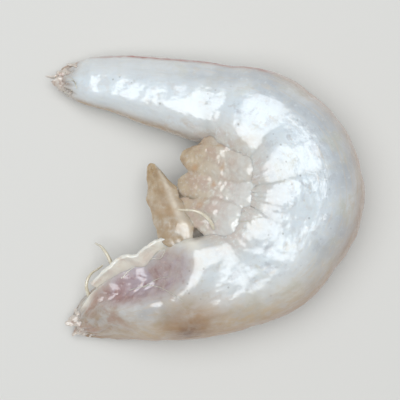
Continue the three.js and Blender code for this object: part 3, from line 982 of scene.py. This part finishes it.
# Raw prawn meat, rinsed: milky and slightly see-through, grey to pearly white with warm thin rims. The film
# of water over it gives broad, crisp, broken highlights. Its colours also hold painted light: the bluish
# white along the level crest is partly painted highlight, the tail's belly side is lightened with painted
# light, the warm rims are partly painted shade and warm bounce light, and the joints have painted shade.
rawPrawnMeat = {
    "colours": {
        "base": "#bbbfc3", "pale": "#d8dada", "olive": "#c6c5b8", "warm": "#cfc5b7",
        "milk": "#dfe4e5", "crest": "#dbe4e9", "underside": "#bfb298", "backRimTintAndPaintedLight": "#b4855f",
        "frontRimTintAndPaintedLight": "#96600a", "lowFront": "#cbad7c", "belly": "#cbc1b4", "tailBellyPaintedLight": "#dfe4e6",
        "tailRimTintAndPaintedLight": "#a2762a", "bellyBrown": "#bd9f80", "byLegs": "#d2cfc7", "byLegsPink": "#c9b3aa",
        "membrane": "#aa938e", "membraneVein": "#937373", "membraneBlue": "#b1a4ad", "membraneRed": "#9f7165",
        "lip": "#e8e4d9", "torn": "#a8927c", "tornRed": "#a6796c", "crease": "#b4b5b1",
        "darkBrownSpot": "#6b3c04", "orangeBrownHalo": "#9c6806", "redLine": "#a05444", "backLine": "#ad7560",
        "speck": "#6f665c",
    },
    "patterns": {  # size in millimetres, detail, roughness, distortion
        "patches": (6.5, 3, 0.55, 0), "blotches": (3.1, 4, 0.6, 0.4), "mottle": (1.3, 4, 0.62, 0),
        "tissue": (1.7, 3, 0.6, 0), "fine": (0.45, 3, 0.6, 0), "swells": (2.3, 2, 0.5, 0),
        "ripples": (0.7, 3, 0.6, 0),
    },
    "fibres": {"slant": 24, "perCentimetre": (3.3, 30)},  # muscle fibres run slantwise along the meat
    "cellSpacing": 1.5,  # pigment cells, 0.15 mm across in life and drawn a little coarser so that they show
    "layers": [
        ("pale", None, "patches", 0.36, 0.64, 0, 1),
        ("olive", None, "blotches", 0.5, 0.68, 0, 0.8),
        ("warm", None, "mottle", 0.54, 0.72, 0, 0.6),
        ("milk", None, "fine", 0.56, 0.74, 0, 0.5),
        ("warm", None, "streaks", 0.54, 0.66, 0, 0.55),
        ("pale", "tail", "patches", 0.2, 0.6, 0.4, 0.7),
        # partly milky flesh, partly painted highlight along the level crest
        ("crest", "crest", "mottle", 0.36, 0.5, 0.2, 0.85),
        ("underside", "underside", "blotches", 0.3, 0.7, 0.3, 0.7),
        # the back's rim: partly warm edge, partly painted shade and painted warm bounce light
        ("backRimTintAndPaintedLight", "backRimTintAndPaintedLight", "blotches", 0.3, 0.6, 0.6, 1),
        ("lowFront", "lowFront", "mottle", 0.3, 0.6, 0.45, 0.9),
        # the front's rim: partly warm edge, partly painted shade and painted warm bounce light
        ("frontRimTintAndPaintedLight", "frontRimTintAndPaintedLight", "mottle", 0.3, 0.6, 0.75, 1),
        ("belly", "belly", "mottle", 0.3, 0.6, 0.5, 1),
        # painted light on the tail's belly side
        ("tailBellyPaintedLight", "tailBellyPaintedLight", "mottle", 0.2, 0.6, 0.5, 1),
        # the tail's lower rim: partly warm edge, partly painted shade and painted warm bounce light
        ("tailRimTintAndPaintedLight", "tailRimTintAndPaintedLight", "mottle", 0.3, 0.6, 0.7, 1),
        ("byLegs", "byLegs", "mottle", 0.2, 0.5, 0.6, 0.95),
        ("byLegsPink", "byLegs", "tissue", 0.42, 0.62, 0, 0.45),
        ("milk", "byLegs", "fine", 0.52, 0.68, 0, 0.7),
        ("bellyBrown", "belly", "blotches", 0.56, 0.7, 0, 0.6),
        ("torn", "torn", "mottle", 0.35, 0.65, 0.5, 0.95),
        ("tornRed", "torn", "blotches", 0.5, 0.66, 0, 0.5),
        # painted shade in the joint creases
        ("crease", "crease", "mottle", 0, 1, 0.3, 0.4),
        ("membrane", "pocket", "mottle", 0.25, 0.6, 0.6, 0.98),
        ("membraneBlue", "pocket", "patches", 0.5, 0.6, 0, 0.8),
        ("membraneVein", "pocket", "mottle", 0.54, 0.7, 0, 0.7),
        ("membraneRed", "pocketEnd", "blotches", 0.35, 0.6, 0.3, 0.9),
        ("byLegsPink", "pocket", "fine", 0.56, 0.7, 0, 0.6),
        ("lip", "lip", "fine", 0.1, 0.5, 0.7, 0.95),
        # an orange-brown halo, and a dark brown spot inside it
        ("orangeBrownHalo", "orangeBrownHalo", "blotches", 0.3, 0.6, 0.5, 1),
        ("darkBrownSpot", "darkBrownSpot", "mottle", 0.32, 0.62, 0.5, 1),
        ("redLine", "redLine", "mottle", 0.3, 0.6, 0.45, 1),
        ("backLine", "backLine", "mottle", 0.35, 0.65, 0.25, 0.85),
        ("speck", "crest", "cells", 0.07, 0.12, 0.45, 0),
    ],
    "relief": [("streaks", 0.5, 0.05), ("mottle", 0.6, 0.09)],
    "filmRelief": [("swells", 0.36, 0.1), ("ripples", 0.5, 0.08), ("fine", 0.6, 0.035)],
    "scatter": 0.5,
    "roughness": 0.34,
    "filmRoughness": 0.07,
}
# Swimming legs: limp, thin and granular, beige and pink, browner towards the margins and on the front pair.
swimmingLegTissue = {
    "colours": {"base": "#cfcbc4", "root": "#dcdcd8", "outer": "#cbbba4", "pink": "#c6b0a6",
                "grain": "#dad7cf", "spot": "#c2986e", "brown": "#a98f6c", "margin": "#a88a62",
                "streak": "#ded3c2"},
    "patterns": {
        "blotches": (1.7, 3, 0.6, 0), "grains": (0.5, 3, 0.62, 0), "spots": (2.6, 1, 0.4, 0),
    },
    "layers": [
        ("outer", None, "grown", 0.25, 0.8, 0, 1),
        ("pink", None, "blotches", 0.42, 0.62, 0, 0.7),
        ("grain", None, "grains", 0.52, 0.68, 0, 0.7),
        ("spot", None, "spots", 0.6, 0.72, 0, 0.7),
        ("root", None, "grown", 0.12, 0.5, 0.85, 0),
        ("brown", "brown", "blotches", 0.3, 0.65, 0.4, 1),
        ("margin", None, "margin", 0.75, 1, 0, 0.35),
        ("streak", "streak", "blotches", 0.35, 0.6, 0.3, 0.9),
    ],
    "relief": [("grains", 0.6, 0.1)],
    "scatter": 0.8,
    "roughness": 0.4,
    "filmRoughness": 0.14,
}
# What all thin torn tissue shares: patches, and a free edge of another colour.
thinTissue = {
    "layers": [
        ("edge", None, "grown", 0, 1, 0, 1),
        ("patch", None, "patches", 0.48, 0.68, 0, 0.85),
    ],
    "relief": [("grains", 0.5, 0.08)],
    "roughness": 0.36,
}
grains = (0.45, 3, 0.6, 0)
# Torn skin: a thin cream membrane, paler at its free edge.
tornSkin = {
    **thinTissue,
    "colours": {"base": "#d8cfc2", "edge": "#e8e4d9", "patch": "#d9ccc0"},
    "patterns": {"patches": (1.6, 3, 0.6, 0), "grains": grains},
    "scatter": 0.9,
    "filmRoughness": 0.1,
}
# Torn muscle: ragged and pinkish, with less water on it, so that it glints less than the meat.
tornMuscle = {
    **thinTissue,
    "colours": {"base": "#c0b2a7", "edge": "#cfc4b9", "patch": "#ab8d7e"},
    "patterns": {"patches": (0.9, 3, 0.6, 0), "grains": grains},
    "scatter": 0.7,
    "filmRoughness": 0.28,
}
# Sinew and gut: pale yellowish threads.
sinewFibre = {
    **thinTissue,
    "colours": {"base": "#d6cdb8", "edge": "#d0c6b0", "patch": "#e4ddd0"},
    "patterns": {"patches": (0.6, 3, 0.6, 0), "grains": grains},
    "scatter": 0.5,
    "filmRoughness": 0.1,
}

finishes = [
    ("rawPrawnMeat", rawPrawnMeat, "flesh", [prawnMeat]),
    ("tornMuscle", tornMuscle, "flesh", [frontStrands, tailStrands]),
    ("swimmingLegTissue", swimmingLegTissue, "leg_tissue", swimmingLegs),
    ("tornSkin", tornSkin, "skin", [skinRag]),
    ("sinewFibre", sinewFibre, "sinew", [sinews, stuckThreads]),
]
for name, finish, slot, pieces in finishes:
    material = makeWetTissue(name, finish)
    for piece in pieces:
        piece.data.materials.clear()
        piece.data.materials.append(material)
        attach(piece, "root")
        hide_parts("prawn")
print("materials laid on")


studio = {  # in metres, unlike the prawn
    "tableSide": 1.2,
    "tableColour": "#d3d0cb",
    "tableRoughness": 0.6,
    "lampPlace": (-0.05, 0.05, 0.5),
    "lampSize": (0.7, 0.6),
    "lampPower": 2.95,
    "lampColour": (0.925, 0.97, 1.0),
    "roomColour": (0.97, 0.98, 1.0, 1),
    "roomLight": 0.31,
    "framed": 0.052,  # how wide the picture is at the prawn
    "lens": 85,  # in millimetres, and the sensor too
    "sensor": 36,
    "seen": (0.01, 10),  # the nearest and the furthest that the camera sees
}


# a matte table, a large soft lamp above it, a pale room, and a camera straight above the prawn
def setStudio():
    deselectAll()
    bpy.ops.mesh.primitive_plane_add(size=studio["tableSide"])
    table = bpy.context.object
    table.name = "table"
    # White laminate with a matte surface: pale, and too dull to mirror anything.
    material, shader = newMaterial("matteWhiteLaminate")
    colour = linear(studio["tableColour"])
    setSockets(shader, {"Base Color": colour, "Roughness": studio["tableRoughness"]})
    table.data.materials.append(material)

    bpy.ops.object.light_add(type="AREA", location=studio["lampPlace"])
    lamp = bpy.context.object
    lamp.data.shape = "ELLIPSE"
    lamp.data.size, lamp.data.size_y = studio["lampSize"]
    lamp.data.energy = studio["lampPower"]
    lamp.data.color = studio["lampColour"]
    lamp.rotation_euler = (-lamp.location).to_track_quat("-Z", "Y").to_euler()

    scene = bpy.context.scene
    scene.world = world = bpy.data.worlds.new("room")
    world.use_nodes = True
    light = {"Color": studio["roomColour"], "Strength": studio["roomLight"]}
    setSockets(world.node_tree.nodes["Background"], light)

    camera = bpy.data.objects.new("camera", bpy.data.cameras.new("camera"))
    scene.collection.objects.link(camera)
    scene.camera = camera
    camera.data.lens = studio["lens"]
    camera.data.sensor_width = studio["sensor"]
    camera.data.clip_start, camera.data.clip_end = studio["seen"]
    distance = studio["framed"] / 2 / (studio["sensor"] / 2 / studio["lens"]) + prawnHigh.z / 2
    camera.location = (prawnMiddle.x, prawnMiddle.y, distance)
    scene.view_settings.view_transform = "Standard"


setStudio()
print("studio set")
